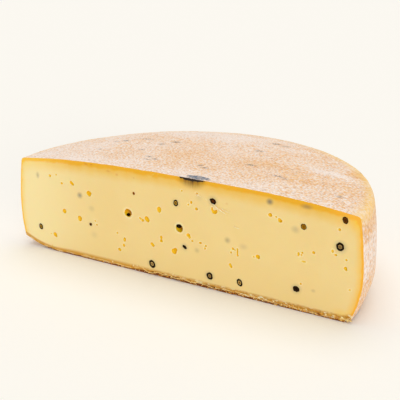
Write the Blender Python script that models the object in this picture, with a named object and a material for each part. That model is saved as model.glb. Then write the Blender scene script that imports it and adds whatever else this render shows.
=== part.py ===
"""Piece of a semi-hard pepper cheese, cut straight across a whole wheel.

The wheel was a low drum with a domed crown, a bulging side and a heel that curls up off the
board. The knife went in a little to one side of the middle, so the piece is slightly more than
half of the wheel. It lies on its base with the cut face towards -Y. The cut opened the larger
eyes and two sockets that peppercorns sat in. The rind is the wheel's own skin, so the cheese
is one solid.

Metres, +Z up. The origin is on the board, under the middle of the piece's box.
"""

import math

import bmesh
import bpy
from mathutils import Vector

MM = 0.001

# Driving sizes of the wheel
WHEEL_RADIUS = 130 * MM
HEIGHT = 74 * MM
CUT_PAST_AXIS = 15 * MM

# The crown drops in a dome to the corner where it would meet the side
CROWN_DROP = 5.9 * MM
CROWN_POWER = 3.0
CORNER_INSET = 4.4 * MM
CORNER_INSET_BEHIND = 1.0 * MM

# The corner is eased by a curve that starts below it and ends inside it
EASE_BELOW = 2.9 * MM
EASE_BELOW_BEHIND = 17 * MM
EASE_INSIDE = 4.0 * MM
EASE_INSIDE_BEHIND = -2.2 * MM

# The side is widest at the belly, which sinks towards the back
BELLY_HEIGHT = 28 * MM
BELLY_SINK_BEHIND = 16 * MM
LOWER_SIDE_POWER = 1.76
UPPER_SIDE_POWER = 1.72

# The heel, where the base curls up: (flat radius, rim radius, lift) at the cut's two ends
RIGHT_HEEL = (118.5 * MM, 124.4 * MM, 1.7 * MM)
LEFT_HEEL = (95 * MM, 128 * MM, 7.4 * MM)

# A pressed wheel is never quite round: (waves in a turn, share of the radius that the wave's
# cosine adds, share that its sine adds behind the axis)
PLAN_WAVES = ((1, -0.003, 0.0), (2, -0.002, 0.0), (3, 0.0086, -0.0122))

# Fineness of the turned surface
TURN_STEPS = 96
HEEL_STEPS = 5
LOWER_SIDE_STEPS = 6
UPPER_SIDE_STEPS = 6
EASE_STEPS = 6
CROWN_STEPS = 12

# Openings in the cut face, in millimetres: (across, up, width, height, depth). Across is
# measured from the wheel's axis and up from the board. Finer eyes are left to the finish.
SOCKETS = (
    (-32.5, 41.9, 6.0, 6.2, 4.0),
    (7.5, 38.6, 5.4, 5.7, 4.0),
)
EYES = (
    (-97.8, 12.9, 2.6, 2.9, 1.4),
    (-87.7, 33.1, 3.1, 3.3, 1.6),
    (-79.3, 55.6, 3.6, 2.0, 1.4),
    (-74.0, 30.3, 3.1, 4.2, 1.8),
    (-64.8, 50.2, 4.3, 3.8, 1.8),
    (-40.7, 13.2, 2.5, 2.2, 1.2),
    (-36.1, 21.4, 2.0, 3.0, 1.2),
    (-17.3, 40.2, 3.7, 3.5, 1.6),
    (-14.0, 22.7, 3.1, 2.6, 1.2),
    (-7.8, 48.5, 3.4, 4.1, 1.2),
    (-6.5, 27.8, 2.0, 4.6, 1.4),
    (3.6, 21.5, 3.9, 4.4, 1.8),
    (14.3, 34.6, 2.7, 3.1, 1.2),
    (32.6, 54.7, 3.8, 3.4, 1.6),
    (63.5, 30.4, 2.7, 2.5, 1.4),
    (70.5, 59.4, 2.3, 2.3, 1.2),
    (76.9, 57.2, 2.5, 2.3, 1.2),
    (118.8, 34.8, 2.0, 2.3, 1.2),
)
EYE_RINGS = 8
EYE_SEGMENTS = 12

PASTE_COLOUR = (0.85, 0.62, 0.25, 1.0)
PASTE_ROUGHNESS = 0.5
SMOOTH_UNDER_DEGREES = 35
WELD = 0.01 * MM


def clear_scene():
    for thing in list(bpy.data.objects):
        bpy.data.objects.remove(thing)


def blend(start, end, share):
    return start + (end - start) * share


def plan_share(turn):
    """Radius of the uneven plan at this angle round the axis, as a share of the true circle."""
    share = 1.0
    for waves, along, across in PLAN_WAVES:
        share += along * math.cos(waves * turn)
        if math.sin(turn) > 0:
            share += across * math.sin(waves * turn)
    return share


def heel_points(turn):
    """The base from the edge of its flat out to the rim, curling up as a parabola."""
    to_right = (1 + math.cos(turn)) / 2
    flat = blend(LEFT_HEEL[0], RIGHT_HEEL[0], to_right)
    rim = blend(LEFT_HEEL[1], RIGHT_HEEL[1], to_right)
    lift = blend(LEFT_HEEL[2], RIGHT_HEEL[2], to_right)
    points = []
    for step in range(HEEL_STEPS + 1):
        share = step / HEEL_STEPS
        points.append((blend(flat, rim, share), lift * share**2))
    return points


def lower_side_points(rim, lift, belly):
    """From the heel's rim out to the belly."""
    points = []
    for step in range(1, LOWER_SIDE_STEPS + 1):
        share = step / LOWER_SIDE_STEPS
        inset = (WHEEL_RADIUS - rim) * (1 - share) ** LOWER_SIDE_POWER
        points.append((WHEEL_RADIUS - inset, blend(lift, belly, share)))
    return points


def upper_side_points(belly, inset, corner, top):
    """From the belly, leaning in towards the crown's corner, as far up as the easing curve."""
    points = []
    for step in range(1, UPPER_SIDE_STEPS + 1):
        height = blend(belly, top, step / UPPER_SIDE_STEPS)
        share = (height - belly) / (corner - belly)
        points.append((WHEEL_RADIUS - inset * share**UPPER_SIDE_POWER, height))
    return points


def crown_height(radius, corner_radius):
    return HEIGHT - CROWN_DROP * (radius / corner_radius) ** CROWN_POWER


def ease_points(start, corner, end):
    """A curve from the side over to the crown, drawn towards the corner between them."""
    points = []
    for step in range(1, EASE_STEPS + 1):
        share = step / EASE_STEPS
        weights = ((1 - share) ** 2, 2 * share * (1 - share), share**2)
        stops = (start, corner, end)
        radius = sum(weight * stop[0] for weight, stop in zip(weights, stops))
        height = sum(weight * stop[1] for weight, stop in zip(weights, stops))
        points.append((radius, height))
    return points


def outline(turn):
    """(radius, height) points of the wheel's outline at this angle, from base to crown."""
    behind = max(math.sin(turn), 0.0)
    early = math.sqrt(behind)
    belly = BELLY_HEIGHT - BELLY_SINK_BEHIND * early
    inset = CORNER_INSET + CORNER_INSET_BEHIND * behind
    corner = (WHEEL_RADIUS - inset, HEIGHT - CROWN_DROP)
    ease_top = corner[1] - EASE_BELOW - EASE_BELOW_BEHIND * early
    crown_edge = corner[0] - EASE_INSIDE - EASE_INSIDE_BEHIND * early
    points = heel_points(turn)
    points += lower_side_points(*points[-1], belly)
    points += upper_side_points(belly, inset, corner[1], ease_top)
    end = (crown_edge, crown_height(crown_edge, corner[0]))
    points += ease_points(points[-1], corner, end)
    for step in range(1, CROWN_STEPS):
        radius = crown_edge * (1 - step / CROWN_STEPS)
        points.append((radius, crown_height(radius, corner[0])))
    share = plan_share(turn)
    return [(radius * share, height) for radius, height in points]


def turn_wheel(wheel):
    """The whole wheel: one outline at each step of the turn, joined, with base and crown."""
    columns = []
    for step in range(TURN_STEPS):
        turn = 2 * math.pi * (step + 0.5) / TURN_STEPS
        column = []
        for radius, height in outline(turn):
            place = (radius * math.cos(turn), radius * math.sin(turn), height)
            column.append(wheel.verts.new(place))
        columns.append(column)
    crown_middle = wheel.verts.new((0.0, 0.0, HEIGHT))
    for step, near in enumerate(columns):
        far = columns[(step + 1) % TURN_STEPS]
        for row in range(len(near) - 1):
            wheel.faces.new((near[row], far[row], far[row + 1], near[row + 1]))
        wheel.faces.new((near[-1], far[-1], crown_middle))
    wheel.faces.new([column[0] for column in reversed(columns)])


def cut_wheel(wheel):
    """Take away what lies on the near side of the knife, and close the cut."""
    geometry = wheel.verts[:] + wheel.edges[:] + wheel.faces[:]
    made = bmesh.ops.bisect_plane(
        wheel,
        geom=geometry,
        dist=WELD,
        plane_co=(0.0, -CUT_PAST_AXIS, 0.0),
        plane_no=(0.0, -1.0, 0.0),
        clear_outer=True,
    )
    rim = [item for item in made["geom_cut"] if isinstance(item, bmesh.types.BMEdge)]
    bmesh.ops.edgeloop_fill(wheel, edges=rim)
    bmesh.ops.recalc_face_normals(wheel, faces=wheel.faces)


def cheese_piece(material):
    wheel = bmesh.new()
    turn_wheel(wheel)
    cut_wheel(wheel)
    mesh = bpy.data.meshes.new("cheese")
    wheel.to_mesh(mesh)
    wheel.free()
    mesh.shade_smooth()
    mesh.set_sharp_from_angle(angle=math.radians(SMOOTH_UNDER_DEGREES))
    mesh.materials.append(material)
    cheese = bpy.data.objects.new("cheese", mesh)
    bpy.context.scene.collection.objects.link(cheese)
    return cheese


def opening_cutter():
    """All the openings as flattened balls centred on the cut face, in one mesh."""
    balls = bmesh.new()
    for across, up, width, height, depth in SOCKETS + EYES:
        made = bmesh.ops.create_uvsphere(
            balls, u_segments=EYE_SEGMENTS, v_segments=EYE_RINGS, radius=1.0
        )
        size = Vector((width / 2, depth, height / 2)) * MM
        bmesh.ops.scale(balls, vec=size, verts=made["verts"])
        place = Vector((across * MM, -CUT_PAST_AXIS, up * MM))
        bmesh.ops.translate(balls, vec=place, verts=made["verts"])
    mesh = bpy.data.meshes.new("opening_cutter")
    balls.to_mesh(mesh)
    balls.free()
    cutter = bpy.data.objects.new("opening_cutter", mesh)
    cutter.hide_render = True
    cutter.display_type = "WIRE"
    bpy.context.scene.collection.objects.link(cutter)
    return cutter


def cut_openings(cheese, cutter):
    cut = cheese.modifiers.new("openings", "BOOLEAN")
    cut.operation = "DIFFERENCE"
    cut.solver = "EXACT"
    cut.object = cutter


def paste_material():
    material = bpy.data.materials.new("cheese_paste")
    material.use_nodes = True
    shader = material.node_tree.nodes["Principled BSDF"]
    shader.inputs["Base Color"].default_value = PASTE_COLOUR
    shader.inputs["Roughness"].default_value = PASTE_ROUGHNESS
    shader.inputs["Metallic"].default_value = 0.0
    return material


def centre_on_origin(cheese, cutter):
    """Hang both objects from an empty that puts the middle of the box over the origin."""
    corners = [Vector(corner) for corner in cheese.bound_box]
    middle = (min(c.x for c in corners) + max(c.x for c in corners)) / 2
    deep = (min(c.y for c in corners) + max(c.y for c in corners)) / 2
    holder = bpy.data.objects.new("holder", None)
    bpy.context.scene.collection.objects.link(holder)
    holder.location = (-middle, -deep, 0.0)
    for thing in (cheese, cutter):
        thing.parent = holder


def main():
    clear_scene()
    cheese = cheese_piece(paste_material())
    cutter = opening_cutter()
    cut_openings(cheese, cutter)
    centre_on_origin(cheese, cutter)


main()
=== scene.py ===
# %% [markdown]
# # Half a wheel of pepper cheese
# The piece is a little more than half of a low round cheese wheel. It lies on its base with the
# straight cut towards -Y. What makes it look like cheese is a short list of things: a smooth
# pale paste with small eyes, peppercorns the knife went through, a golden band just under the
# rind, a dry orange rind with a pinkish white bloom, and a crumbly line along the board.
#
# The CAD solid gives the size and place. Here it is replaced by one closed skin fine enough to
# carry those details, with peppercorns, crumbs and knife marks as pieces of their own.

# %% Load the frame and keep its box
import math
import random

import bmesh
import bpy
import numpy as np
from mathutils import Matrix, Vector, noise


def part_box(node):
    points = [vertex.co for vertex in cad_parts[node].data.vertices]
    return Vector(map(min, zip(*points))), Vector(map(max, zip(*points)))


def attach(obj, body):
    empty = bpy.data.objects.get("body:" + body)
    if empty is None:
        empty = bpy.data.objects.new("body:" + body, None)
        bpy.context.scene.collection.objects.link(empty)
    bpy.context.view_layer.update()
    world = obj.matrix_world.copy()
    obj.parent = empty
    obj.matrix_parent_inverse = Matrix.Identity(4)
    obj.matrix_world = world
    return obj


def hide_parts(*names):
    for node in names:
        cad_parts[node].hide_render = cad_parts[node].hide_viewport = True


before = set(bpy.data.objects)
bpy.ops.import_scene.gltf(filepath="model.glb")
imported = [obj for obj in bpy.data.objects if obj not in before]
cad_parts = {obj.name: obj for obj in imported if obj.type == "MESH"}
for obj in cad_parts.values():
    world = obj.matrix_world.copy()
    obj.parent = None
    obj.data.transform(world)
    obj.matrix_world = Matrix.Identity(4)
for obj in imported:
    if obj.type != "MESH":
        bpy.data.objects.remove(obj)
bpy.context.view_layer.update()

MM = 0.001
scene = bpy.context.scene
cheese_low, cheese_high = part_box("cheese")
print("CAD box of the cheese, mm:", [round(side / MM, 1) for side in cheese_high - cheese_low])


# %% [markdown]
# ## The shape of the wheel
# A wheel could be spun from one outline, but a real one is pressed and turned by hand. Its heel
# curls up more on the left than on the right, its side is fuller at the back, and its plan isn't
# a true circle. So the outline is a function of the angle round the axis. The wheel is first
# spun from the outline at the right-hand end, and each of its points then moves to the place
# that the outline has at its own angle.

# %% The outline at any angle
WHEEL_RADIUS = 130 * MM
HEIGHT = 74 * MM
CUT_PAST_AXIS = 15 * MM
CROWN_DROP = 5.9 * MM
CROWN_POWER = 3.0
CORNER_INSET = 4.4 * MM
CORNER_INSET_BEHIND = 1.0 * MM
EASE_BELOW = 2.2 * MM
EASE_BELOW_BEHIND = 17 * MM
EASE_INSIDE = 2.8 * MM
EASE_INSIDE_BEHIND = -2.2 * MM
BELLY_HEIGHT = 28 * MM
BELLY_SINK_BEHIND = 16 * MM
LOWER_SIDE_POWER = 1.76
UPPER_SIDE_POWER = 1.72
RIGHT_HEEL = (118.5 * MM, 124.4 * MM, 1.7 * MM)
LEFT_HEEL = (95 * MM, 128 * MM, 7.4 * MM)
PLAN_WAVES = ((1, -0.003, 0.0), (2, -0.002, 0.0), (3, 0.0086, -0.0122))

BASE_ROWS = 6
HEEL_ROWS = 12
LOWER_SIDE_ROWS = 14
UPPER_SIDE_ROWS = 28
EASE_ROWS = 10
CROWN_ROWS = 76


def blend(start, end, share):
    return start + (end - start) * share


def plan_share(turn):
    """Radius of the uneven plan at this angle round the axis, as a share of the true circle."""
    share = 1.0
    for waves, along, across in PLAN_WAVES:
        share += along * math.cos(waves * turn)
        if math.sin(turn) > 0:
            share += across * math.sin(waves * turn)
    return share


def heel_at(turn):
    """Flat radius, rim radius and lift of the heel at this angle."""
    to_right = (1 + math.cos(turn)) / 2
    return [blend(left, right, to_right) for left, right in zip(LEFT_HEEL, RIGHT_HEEL)]


def corner_at(turn):
    """Radius and height of the corner where crown and side would meet."""
    behind = max(math.sin(turn), 0.0)
    return WHEEL_RADIUS - CORNER_INSET - CORNER_INSET_BEHIND * behind, HEIGHT - CROWN_DROP


def crown_height(radius, corner_radius):
    return HEIGHT - CROWN_DROP * (radius / corner_radius) ** CROWN_POWER


def eased(start, corner, end, share):
    """A point on the curve from the side over to the crown."""
    weights = ((1 - share) ** 2, 2 * share * (1 - share), share**2)
    stops = (start, corner, end)
    return tuple(sum(weight * stop[i] for weight, stop in zip(weights, stops)) for i in (0, 1))


def outline(turn):
    """(radius, height) points at this angle, from the middle of the base to the crown's."""
    early = math.sqrt(max(math.sin(turn), 0.0))
    flat, rim, lift = heel_at(turn)
    corner = corner_at(turn)
    inset = WHEEL_RADIUS - corner[0]
    belly = BELLY_HEIGHT - BELLY_SINK_BEHIND * early
    ease_top = corner[1] - EASE_BELOW - EASE_BELOW_BEHIND * early
    crown_edge = corner[0] - EASE_INSIDE - EASE_INSIDE_BEHIND * early
    points = [(flat * step / BASE_ROWS, 0.0) for step in range(BASE_ROWS)]
    for step in range(HEEL_ROWS):
        share = step / HEEL_ROWS
        points.append((blend(flat, rim, share), lift * share**2))
    for step in range(LOWER_SIDE_ROWS):
        share = step / LOWER_SIDE_ROWS
        curl = (WHEEL_RADIUS - rim) * (1 - share) ** LOWER_SIDE_POWER
        points.append((WHEEL_RADIUS - curl, blend(lift, belly, share)))
    for step in range(UPPER_SIDE_ROWS + 1):
        height = blend(belly, ease_top, step / UPPER_SIDE_ROWS)
        share = (height - belly) / (corner[1] - belly)
        points.append((WHEEL_RADIUS - inset * share**UPPER_SIDE_POWER, height))
    start = points[-1]
    end = (crown_edge, crown_height(crown_edge, corner[0]))
    points += [eased(start, corner, end, step / EASE_ROWS) for step in range(1, EASE_ROWS)]
    for step in range(CROWN_ROWS):
        radius = crown_edge * (1 - step / CROWN_ROWS)
        points.append((radius, crown_height(radius, corner[0])))
    points.append((0.0, HEIGHT))
    share = plan_share(turn)
    return [(radius * share, height) for radius, height in points]


print("outline points:", len(outline(0.0)))


# %% [markdown]
# ## Spin the wheel and cut it
# `spin` turns a string of edges round an axis into a skin. A layer on the vertices remembers
# which point of the outline each one came from, and the spin copies it along. The knife is a
# `bisect_plane` that throws away the near side; the hole it leaves is closed with one big face.
# That face is then ruled into small squares by more planes, because one flat polygon couldn't
# take the slight waves that a knife leaves in soft cheese.

# %% Spin, ease, bisect and rule the cut
SPIN_STEPS = 112
COLUMNS_PER_STEP = 5
CUT_SPACING = 1.25 * MM
FOOT_HEIGHT = 4.0 * MM
FOOT_FROM = -60 * MM
FOOT_CUTS = 2
PASTE_SLOT, RIND_SLOT = 0, 1
WELD = 0.001 * MM


def spun_wheel():
    wheel = bmesh.new()
    row_of = wheel.verts.layers.int.new("row")
    last = None
    for row, (radius, height) in enumerate(outline(0.0)):
        vert = wheel.verts.new((radius, 0.0, height))
        vert[row_of] = row
        if last:
            wheel.edges.new((last, vert))
        last = vert
    bmesh.ops.spin(
        wheel,
        geom=wheel.verts[:] + wheel.edges[:],
        axis=(0.0, 0.0, 1.0),
        cent=(0.0, 0.0, 0.0),
        angle=2 * math.pi,
        steps=SPIN_STEPS,
        use_merge=True,
    )
    bmesh.ops.remove_doubles(wheel, verts=wheel.verts, dist=WELD)
    rings = [edge for edge in wheel.edges if edge.verts[0][row_of] == edge.verts[1][row_of]]
    bmesh.ops.subdivide_edges(wheel, edges=rings, cuts=COLUMNS_PER_STEP - 1, use_grid_fill=True)
    outlines = {}
    for vert in wheel.verts:
        turn = math.atan2(vert.co.y, vert.co.x)
        step = round(turn / (2 * math.pi) * SPIN_STEPS * COLUMNS_PER_STEP)
        if step not in outlines:
            outlines[step] = outline(turn)
        radius, height = outlines[step][vert[row_of]]
        vert.co = (radius * math.cos(turn), radius * math.sin(turn), height)
    return wheel


def cut_wheel(wheel):
    made = bmesh.ops.bisect_plane(
        wheel,
        geom=wheel.verts[:] + wheel.edges[:] + wheel.faces[:],
        dist=WELD,
        plane_co=(0.0, -CUT_PAST_AXIS, 0.0),
        plane_no=(0.0, -1.0, 0.0),
        clear_outer=True,
    )
    for face in wheel.faces:
        face.material_index = RIND_SLOT
    rim = [item for item in made["geom_cut"] if isinstance(item, bmesh.types.BMEdge)]
    for face in bmesh.ops.edgeloop_fill(wheel, edges=rim)["faces"]:
        face.material_index = PASTE_SLOT
    bmesh.ops.recalc_face_normals(wheel, faces=wheel.faces)


def cut_outline(wheel):
    """The cut's own edge, as (across, up) pairs of neighbouring points in the wheel's frame."""
    pairs = []
    for edge in wheel.edges:
        if len({face.material_index for face in edge.link_faces}) == 2:
            pairs.append([(vert.co.x, vert.co.z) for vert in edge.verts])
    return np.array(pairs)


def rule_cut(wheel, direction, first, last):
    """Split the cut face by planes square to this direction, one at each spacing."""
    geometry = {face for face in wheel.faces if face.material_index == PASTE_SLOT}
    for face in list(geometry):
        geometry.update(face.edges)
        geometry.update(face.verts)
    for step in range(1, int((last - first) / CUT_SPACING) + 1):
        made = bmesh.ops.bisect_plane(
            wheel,
            geom=list(geometry),
            dist=WELD,
            plane_co=direction * (first + step * CUT_SPACING),
            plane_no=direction,
        )
        geometry = made["geom"]


def refine_foot(wheel):
    """Divide the lowest squares of the cut, where a crumbly crust needs finer relief."""
    low = []
    for face in wheel.faces:
        places = [vert.co for vert in face.verts]
        in_foot = max(place.z for place in places) < FOOT_HEIGHT
        if face.material_index == PASTE_SLOT and in_foot and places[0].x > FOOT_FROM:
            low.append(face)
    edges = list(dict.fromkeys(edge for face in low for edge in face.edges))
    bmesh.ops.subdivide_edges(wheel, edges=edges, cuts=FOOT_CUTS, use_grid_fill=True)


wheel = spun_wheel()
cut_wheel(wheel)
cut_edge = cut_outline(wheel)
reach = [vert.co for vert in wheel.verts]
wheel_low = Vector([min(place[i] for place in reach) for i in range(3)])
wheel_high = Vector([max(place[i] for place in reach) for i in range(3)])
rule_cut(wheel, Vector((0.0, 0.0, 1.0)), 0.0, HEIGHT)
rule_cut(wheel, Vector((1.0, 0.0, 0.0)), wheel_low.x, wheel_high.x)
refine_foot(wheel)
AXIS = Vector(
    (
        (cheese_low.x + cheese_high.x - wheel_low.x - wheel_high.x) / 2,
        cheese_low.y + CUT_PAST_AXIS,
        0.0,
    )
)
print("faces:", len(wheel.faces), "axis foot, mm:", [round(part / MM, 2) for part in AXIS])
print("own box, mm:", [round(side / MM, 1) for side in wheel_high - wheel_low])

# %% [markdown]
# ## Eyes and sockets
# Eyes are small gas bubbles, and the knife opened these. A few run together, a few are slits,
# and two larger holes are sockets that peppercorns sat in. Each is a ball squeezed to its own
# width and height, leaning its own way, and centred on the cut, so that half of it bites into
# the paste. Each peppercorn that the knife went through needs a seat, a little narrower than
# the peppercorn, or the paste would cover its hollow core. A voxel Remesh welds balls that overlap into one soft-edged blob and makes every
# cutter closed, and one exact Boolean then opens them all at once.

# %% Where the openings are
# Millimetres: (across from the axis, up from the board, width, height, lean in degrees, depth)
SOCKETS = (
    (-32.5, 41.9, 6.0, 6.2, 0, 4.0),
    (7.5, 38.6, 5.4, 6.0, 0, 4.0),
)
EYES = (
    (-98.6, 58.2, 1.7, 1.8, 0, 1.0),
    (-92.9, 59.8, 1.3, 1.3, 0, 0.6),
    (-88.3, 54.2, 1.7, 1.6, 0, 1.0),
    (-79.9, 56.1, 2.2, 2.1, -30, 1.2),
    (-78.7, 55.2, 2.4, 2.1, -40, 1.4),
    (-65.2, 50.6, 3.0, 3.0, 0, 1.8),
    (-63.9, 50.6, 2.4, 2.4, 0, 1.6),
    (-64.5, 49.5, 2.4, 2.2, 0, 1.5),
    (-87.6, 33.2, 3.0, 3.0, 0, 1.6),
    (-74.0, 30.5, 3.1, 2.8, 0, 1.6),
    (-73.9, 29.4, 2.5, 2.4, 0, 1.6),
    (-75.2, 29.6, 1.2, 1.4, 0, 0.8),
    (-97.7, 13.1, 2.9, 2.9, -20, 1.5),
    (-97.0, 12.1, 1.8, 1.8, 0, 1.2),
    (-101.7, 13.1, 1.1, 1.1, 0, 0.5),
    (-60.5, 30.8, 1.2, 1.2, 0, 0.7),
    (-59.3, 28.1, 1.4, 1.2, 0, 0.8),
    (-42.0, 25.4, 1.4, 1.4, 0, 0.6),
    (-40.6, 13.2, 2.5, 2.0, -20, 1.2),
    (-36.1, 21.6, 1.9, 2.9, -10, 1.2),
    (-36.9, 17.1, 1.7, 2.1, 0, 1.1),
    (-20.9, 38.7, 2.1, 1.8, 0, 1.1),
    (-22.9, 39.8, 1.8, 1.4, -30, 0.9),
    (-17.6, 40.3, 3.0, 3.2, 10, 1.6),
    (-16.8, 39.5, 2.4, 2.6, 0, 1.3),
    (-7.8, 48.7, 3.0, 3.7, 0, 1.0),
    (-6.5, 29.2, 1.7, 2.4, 0, 1.2),
    (-6.5, 26.7, 2.1, 1.9, 0, 1.2),
    (-13.9, 22.9, 2.3, 2.1, -20, 1.2),
    (-13.1, 22.1, 2.2, 2.0, -20, 1.2),
    (3.3, 21.1, 3.4, 3.3, -20, 1.8),
    (4.4, 22.6, 2.4, 2.4, -20, 1.5),
    (9.4, 64.7, 1.2, 1.2, 0, 0.6),
    (20.4, 64.4, 1.7, 1.6, 0, 0.9),
    (16.3, 58.0, 1.5, 1.9, 0, 1.0),
    (14.2, 56.1, 1.2, 1.2, 0, 0.6),
    (20.1, 54.2, 1.9, 1.8, 0, 1.1),
    (33.0, 54.4, 3.3, 2.2, 8, 1.4),
    (31.3, 56.0, 1.3, 2.6, 0, 1.1),
    (34.3, 55.2, 1.4, 1.9, 0, 1.0),
    (14.2, 34.9, 2.6, 2.2, 10, 1.1),
    (15.0, 33.7, 1.7, 1.9, 0, 0.9),
    (17.1, 31.5, 1.4, 1.4, 0, 0.9),
    (23.0, 31.3, 2.0, 1.3, 10, 0.9),
    (27.0, 30.1, 1.4, 1.3, 0, 0.9),
    (26.4, 28.1, 1.3, 1.3, 0, 0.8),
    (46.2, 32.2, 1.4, 1.5, 0, 0.9),
    (47.7, 31.6, 1.1, 1.1, 0, 0.6),
    (45.0, 29.4, 1.2, 1.4, 0, 0.8),
    (49.4, 32.4, 1.3, 1.3, 0, 0.9),
    (49.5, 30.4, 0.9, 4.6, 0, 0.9),
    (49.7, 28.2, 1.3, 1.2, 0, 0.9),
    (63.4, 30.5, 2.6, 2.2, 0, 1.4),
    (63.9, 29.7, 1.5, 1.6, 0, 1.2),
    (60.6, 29.8, 1.2, 1.1, 0, 0.5),
    (44.6, 20.6, 1.8, 2.0, 20, 1.0),
    (45.3, 19.4, 1.7, 1.8, 30, 1.0),
    (70.5, 59.4, 2.2, 2.2, 0, 1.2),
    (74.3, 58.9, 1.1, 1.1, 0, 0.6),
    (76.7, 57.4, 2.0, 1.9, 0, 1.2),
    (77.1, 56.8, 2.3, 2.0, 0, 1.3),
    (98.9, 40.8, 1.7, 1.6, 0, 1.0),
    (89.6, 37.8, 1.2, 2.5, 0, 0.9),
    (91.9, 39.2, 1.2, 1.2, 0, 0.8),
    (91.5, 37.6, 1.1, 1.1, 0, 0.6),
    (93.1, 33.7, 2.6, 1.2, 0, 0.5),
    (92.1, 18.7, 1.2, 1.3, 0, 0.8),
    (113.4, 58.3, 1.5, 1.5, 0, 0.9),
    (110.2, 44.1, 1.4, 1.9, 0, 0.6),
    (112.3, 42.1, 1.6, 1.1, 0, 0.9),
    (118.7, 40.3, 1.2, 1.3, 0, 0.8),
    (118.6, 35.0, 1.8, 1.8, 0, 1.1),
    (119.1, 34.2, 1.3, 1.5, 0, 1.1),
    (122.1, 21.9, 1.2, 1.2, 0, 0.5),
    (-12.0, 72.6, 1.2, 0.9, 0, 0.5),
    (-8.0, 73.1, 1.1, 0.8, 0, 0.5),
)
EYE_GROWTH = 1.22
# Millimetres: (across, up, width, height, lean in degrees, look of the core)
CUT_PEPPERCORNS = (
    (-110.7, 17.0, 3.8, 4.8, 14, "olive"),
    (-64.7, 27.5, 2.4, 2.6, 0, "brown"),
    (-27.4, 56.8, 2.1, 2.4, 0, "amber"),
    (5.0, 55.6, 3.7, 4.6, 0, "olive"),
    (11.3, 26.0, 3.7, 2.3, -35, "black"),
    (31.9, 61.5, 4.8, 4.0, -30, "burnt"),
    (-14.1, 8.1, 4.8, 6.3, 26, "grey"),
    (30.0, 9.4, 4.7, 5.5, 12, "slate"),
    (51.5, 9.7, 3.9, 5.6, 24, "gold"),
    (89.4, 14.6, 4.6, 4.2, -15, "black"),
    (91.8, 56.0, 3.8, 4.1, 20, "tan"),
    (116.3, 64.6, 3.5, 4.6, 24, "brown"),
    (114.5, 47.8, 4.9, 5.4, 24, "slate"),
)
# Millimetres: (across, up, size, how far its middle lies behind the cut)
WHOLE_PEPPERCORNS = (
    (-33.8, 39.3, 3.3, 2.2),
    (6.1, 39.9, 4.5, 2.3),
)
BALL_FINENESS = 3
VOXEL = 0.24 * MM
DENT = 0.12
SEAT_NARROWER = 0.9
SEAT_DEPTH = 1.5


def on_cut(across, up, out=0.0):
    """World place of a point on the cut; out is how far it stands proud of the face."""
    return AXIS + Vector((across, -CUT_PAST_AXIS / MM - out, up)) * MM


def add_ball(mesh, place, size, lean=0.0, fineness=BALL_FINENESS, dent=DENT):
    """A dented ball of this size, in metres, turned by lean degrees in the plane of the cut."""
    made = bmesh.ops.create_icosphere(mesh, subdivisions=fineness, radius=0.5)
    for vert in made["verts"]:
        vert.co *= 1 + dent * noise.noise(vert.co * 3 + place / MM)
    bmesh.ops.scale(mesh, vec=size, verts=made["verts"])
    turned = Matrix.Rotation(math.radians(-lean), 3, "Y")
    bmesh.ops.rotate(mesh, cent=(0, 0, 0), matrix=turned, verts=made["verts"])
    bmesh.ops.translate(mesh, vec=place, verts=made["verts"])
    return made["verts"]


def new_object(name, source):
    """Turn a finished bmesh into an object at the origin."""
    mesh = bpy.data.meshes.new(name)
    source.to_mesh(mesh)
    source.free()
    made = bpy.data.objects.new(name, mesh)
    scene.collection.objects.link(made)
    return made


def finished(piece):
    """Replace a piece's mesh by what its modifiers make of it, and clear them."""
    graph = bpy.context.evaluated_depsgraph_get()
    mesh = bpy.data.meshes.new_from_object(piece.evaluated_get(graph))
    piece.modifiers.clear()
    piece.data = mesh
    return mesh


def drop(piece):
    """Remove a cutter that has done its work."""
    mesh = piece.data
    bpy.data.objects.remove(piece)
    bpy.data.meshes.remove(mesh)


balls = bmesh.new()
for across, up, width, height, lean, depth in SOCKETS:
    add_ball(balls, on_cut(across, up), Vector((width, 2 * depth, height)) * MM, lean)
for across, up, width, height, lean, depth in EYES:
    size = Vector((width * EYE_GROWTH, 2 * depth, height * EYE_GROWTH)) * MM
    add_ball(balls, on_cut(across, up), size, lean)
for across, up, width, height, lean, look in CUT_PEPPERCORNS:
    size = Vector((width - SEAT_NARROWER, 2 * SEAT_DEPTH, height - SEAT_NARROWER)) * MM
    add_ball(balls, on_cut(across, up), size, lean, dent=0.0)
cutter = new_object("opening_cutter", balls)
weld = cutter.modifiers.new("weld", "REMESH")
weld.mode = "VOXEL"
weld.voxel_size = VOXEL
finished(cutter)
print("cutter faces:", len(cutter.data.polygons))

# %% Cut the openings
bmesh.ops.translate(wheel, vec=AXIS, verts=wheel.verts)
body = new_object("cheese_body", wheel)
opening = body.modifiers.new("openings", "BOOLEAN")
opening.operation = "DIFFERENCE"
opening.solver = "EXACT"
opening.object = cutter
finished(body)
drop(cutter)
print("body faces with its openings:", len(body.data.polygons))

# %% [markdown]
# ## What a point knows about its place
# Relief and finishes depend on distances that a shader can't easily find: how far a point of
# the paste lies under the rind, how far above the base and how deep in an opening, and how far a
# point of the rind lies from the wheel's upper corner. They are measured while the cut is still
# flat and stored on the mesh as attributes, with how much each point faces up. The dry band is
# thinner along the sides than under the crown, so a distance from a side counts for more.

# %% Store the distances
SIDE_COUNTS = 2.0


def distance_to(pairs, points):
    """Distance in the plane of the cut from each point to the nearest of the edges."""
    start, run = pairs[:, 0], pairs[:, 1] - pairs[:, 0]
    nearest = np.full(len(points), np.inf)
    for origin, along in zip(start, run):
        offset = points - origin
        share = np.clip(offset @ along / max(along @ along, WELD**2), 0, 1)
        gap = np.hypot(*(offset - share[:, None] * along).T)
        nearest = np.minimum(nearest, gap)
    return nearest


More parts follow.
